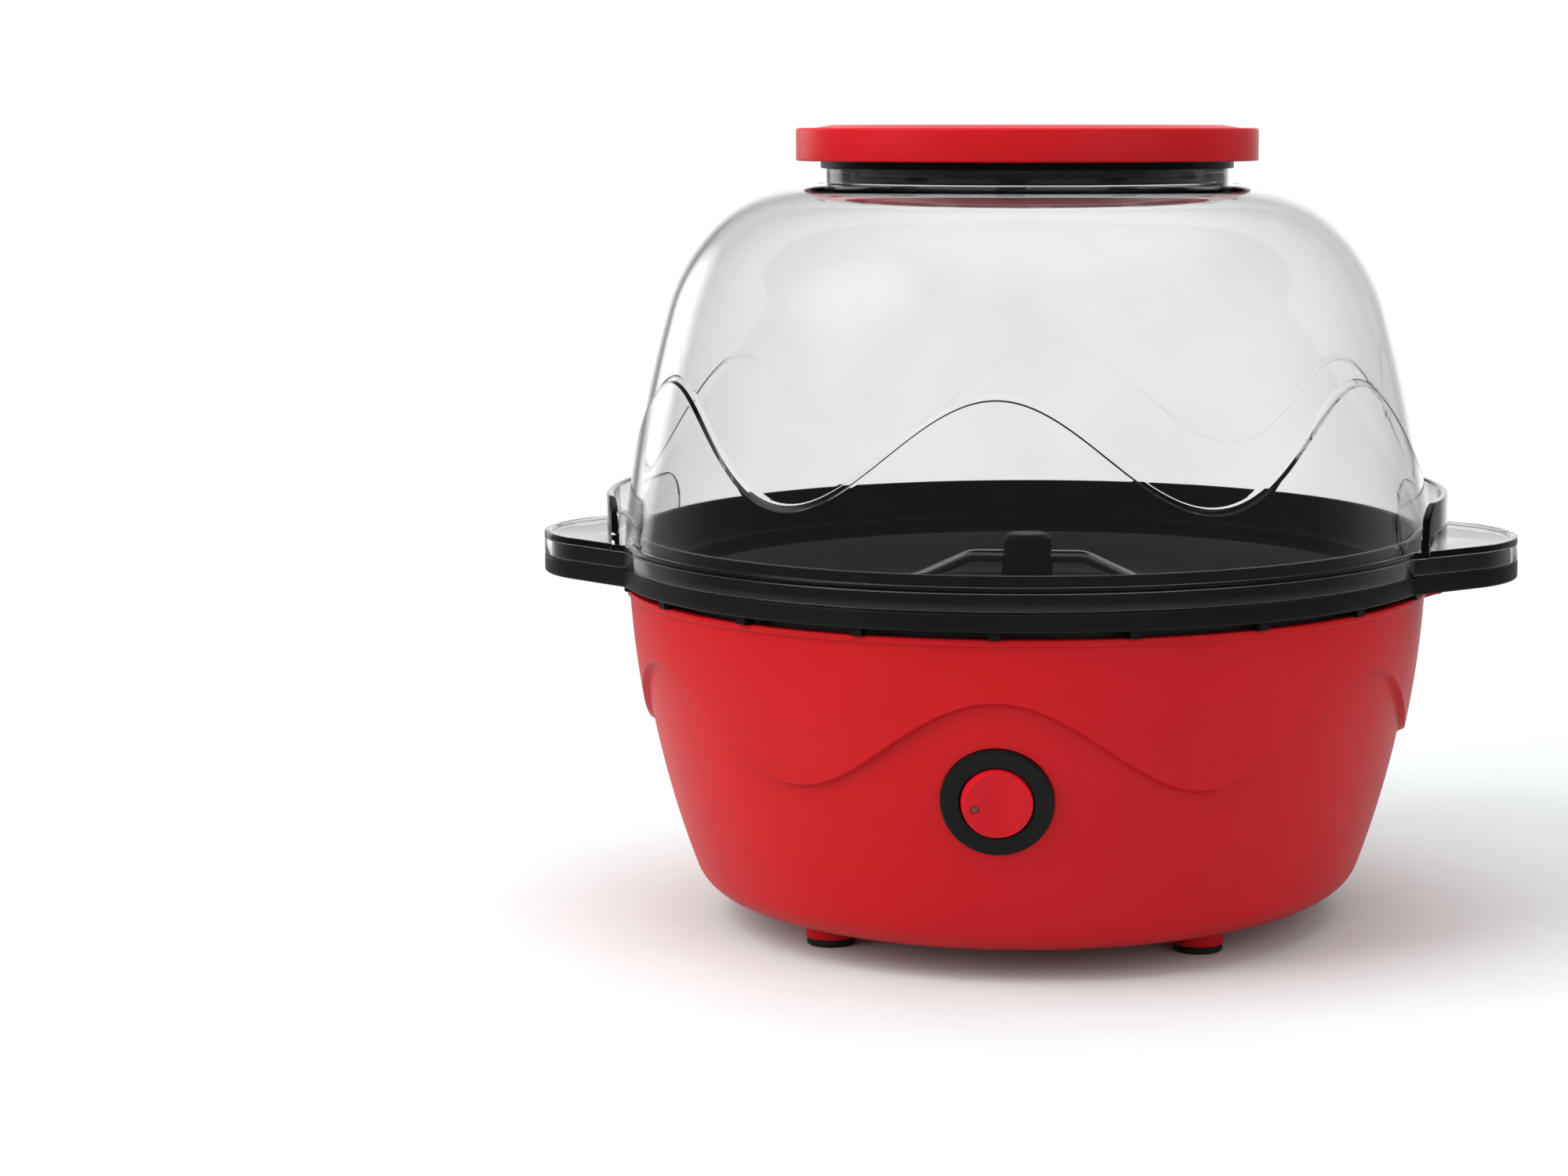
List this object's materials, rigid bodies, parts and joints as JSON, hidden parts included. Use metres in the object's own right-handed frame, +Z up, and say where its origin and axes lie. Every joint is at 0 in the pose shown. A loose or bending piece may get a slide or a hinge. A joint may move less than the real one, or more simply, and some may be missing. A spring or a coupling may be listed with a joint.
{
  "type": "popcorn maker",
  "caption": "Round stirring popcorn maker: red base with a heated pan and rocker switch, black rim collar with side handles, clear lift-off cover with a butter tray and red cap.",
  "frame": {"origin": "on the table under the centre of the base", "axes": "+Z up, +X along the two handles, the switch on the front at -Y"},
  "size_m": [0.34, 0.284, 0.2731],
  "materials": {
    "red_abs": "satin moulded ABS",
    "red_rocker": "gloss moulded ABS",
    "smoked_lens": "smoked moulded polycarbonate",
    "black_polypropylene": "satin moulded polypropylene",
    "black_nylon": "moulded nylon",
    "clear_polycarbonate": "clear moulded polycarbonate",
    "nonstick_aluminium": "die-cast with dark non-stick coating",
    "zinc_plated_steel": "zinc plated",
    "stainless_steel": "polished stainless steel",
    "galvanised_sheet": "galvanised sheet",
    "brass": "plain",
    "black_silicone": "moulded silicone",
    "white_nylon": "moulded nylon",
    "grey_pvc": "PVC insulation"
  },
  "bodies": {
    "base": {"base_housing": "red_abs", "bottom_cover": "red_abs", "foot_pads": "black_silicone", "bottom_screws": "zinc_plated_steel", "rim_collar": "black_polypropylene", "handle_screws": "zinc_plated_steel", "popping_pan": "nonstick_aluminium", "pan_gasket": "black_silicone", "pan_screws": "zinc_plated_steel", "heating_element": "stainless_steel", "element_pins": "stainless_steel", "thermostat": "brass", "thermal_fuse": "brass", "fuse_clip": "galvanised_sheet", "heat_shield": "galvanised_sheet", "motor_bracket": "galvanised_sheet", "bracket_screws": "zinc_plated_steel", "gearmotor": "galvanised_sheet", "motor_screws": "zinc_plated_steel", "shaft_bushing": "brass", "shaft_seal": "black_silicone", "switch_bezel": "black_polypropylene", "switch_body": "black_nylon", "switch_blades": "brass", "cord_inlet": "black_nylon", "terminal_block": "white_nylon", "inner_leads": "grey_pvc"},
    "drive": {"motor_spindle": "stainless_steel", "shaft_coupler": "black_nylon", "drive_shaft": "stainless_steel"},
    "stirrer": {"stir_hub": "black_nylon", "stir_rod": "stainless_steel"},
    "rocker": {"power_rocker": "red_rocker", "indicator_lens": "smoked_lens"},
    "cover": {"cover_dome": "clear_polycarbonate", "butter_tray": "black_polypropylene"},
    "cap": {"cap": "red_abs", "cap_ring": "black_polypropylene"}
  },
  "joints": [
    {"name": "stir_spin", "type": "hinge", "parent": "base", "child": "drive", "pos_m": [0, 0, 0.09], "axis": [0, 0, 1], "continuous": true},
    {"name": "stirrer_lift", "type": "slide", "parent": "drive", "child": "stirrer", "axis": [0, 0, 1], "range_m": [0, 0.025]},
    {"name": "power_rocker", "type": "hinge", "parent": "base", "child": "rocker", "pos_m": [0, -0.12816, 0.06351], "axis": [0, 0.2081, -0.9781], "range_deg": [0, 14]},
    {"name": "cover_lift", "type": "slide", "parent": "base", "child": "cover", "axis": [0, 0, 1], "range_m": [0, 0.15]},
    {"name": "cap_lift", "type": "slide", "parent": "cover", "child": "cap", "axis": [0, 0, 1], "range_m": [0, 0.06]}
  ]
}
